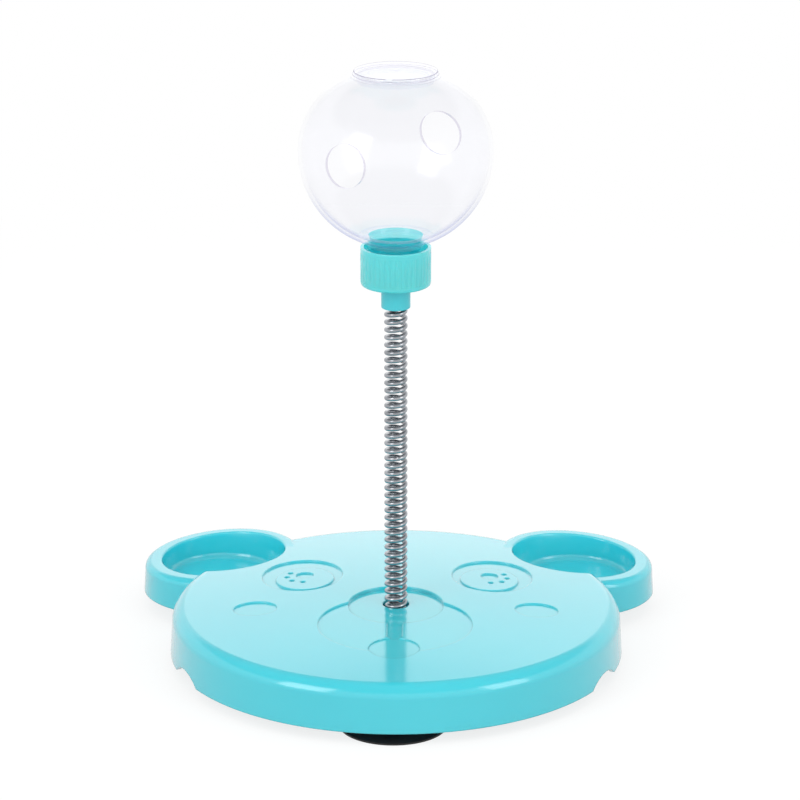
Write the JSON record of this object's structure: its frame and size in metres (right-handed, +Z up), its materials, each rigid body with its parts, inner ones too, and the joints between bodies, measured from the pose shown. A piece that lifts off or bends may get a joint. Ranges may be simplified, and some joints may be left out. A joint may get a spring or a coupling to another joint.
{
  "type": "wobble treat dispenser",
  "caption": "Clear treat ball on a long steel spring, standing in a bear-head base whose ears are two food bowls.",
  "frame": {"origin": "on the floor, under the middle of the round bear head", "axes": "+Z up along the spring, -Y toward the face's chin side, +X to the right seen from the chin side"},
  "size_m": [0.267, 0.2312, 0.3061],
  "materials": {
    "teal_shell": "glossy moulded plastic, pale teal",
    "cap_plastic": "glossy moulded plastic, teal",
    "socket_plastic": "satin moulded plastic, darker teal",
    "inner_plastic": "plain moulded nylon, off-white",
    "foot_rubber": "smooth black rubber",
    "spring_steel": "bright nickel-plated spring wire",
    "screw_steel": "zinc-plated steel",
    "clear_plastic": "clear polished plastic with a faint cool tint"
  },
  "bodies": {
    "base": {"base_shell": "teal_shell", "suction_foot_front": "foot_rubber", "suction_foot_rear_left": "foot_rubber", "suction_foot_rear_right": "foot_rubber", "spring_anchor": "inner_plastic", "anchor_screws": "screw_steel"},
    "stem": {"spring": "spring_steel"},
    "head": {"spring_socket": "socket_plastic", "neck_plug": "inner_plastic", "neck_screw": "screw_steel"},
    "cap": {"cap": "cap_plastic"},
    "ball": {"ball": "clear_plastic"},
    "lid": {"fill_lid": "clear_plastic"}
  },
  "joints": [
    {"name": "spring_sway_side", "type": "hinge", "parent": "base", "child": "stem", "pos_m": [0, -0.0097, 0.06], "axis": [0, 1, 0], "range_deg": [-30, 30], "stiffness_Nm_per_rad": 0.42, "deforming": ["spring"]},
    {"name": "spring_sway_fore", "type": "hinge", "parent": "stem", "child": "head", "pos_m": [0, -0.0097, 0.111], "axis": [1, 0, 0], "range_deg": [-30, 30], "stiffness_Nm_per_rad": 0.24, "deforming": ["spring"]},
    {"name": "cap_turn", "type": "hinge", "parent": "head", "child": "cap", "pos_m": [0, -0.0097, 0.2], "axis": [0, 0, -1], "range_deg": [0, 720]},
    {"name": "ball_rise", "type": "slide", "parent": "head", "child": "ball", "axis": [0, 0, 1], "range_m": [0, 0.008]},
    {"name": "lid_lift", "type": "slide", "parent": "ball", "child": "lid", "axis": [0, 0, 1], "range_m": [0, 0.03]}
  ],
  "couplings": [
    {"joint": "cap_turn", "follows": "ball_rise", "rad_per_m": 1570.8}
  ]
}
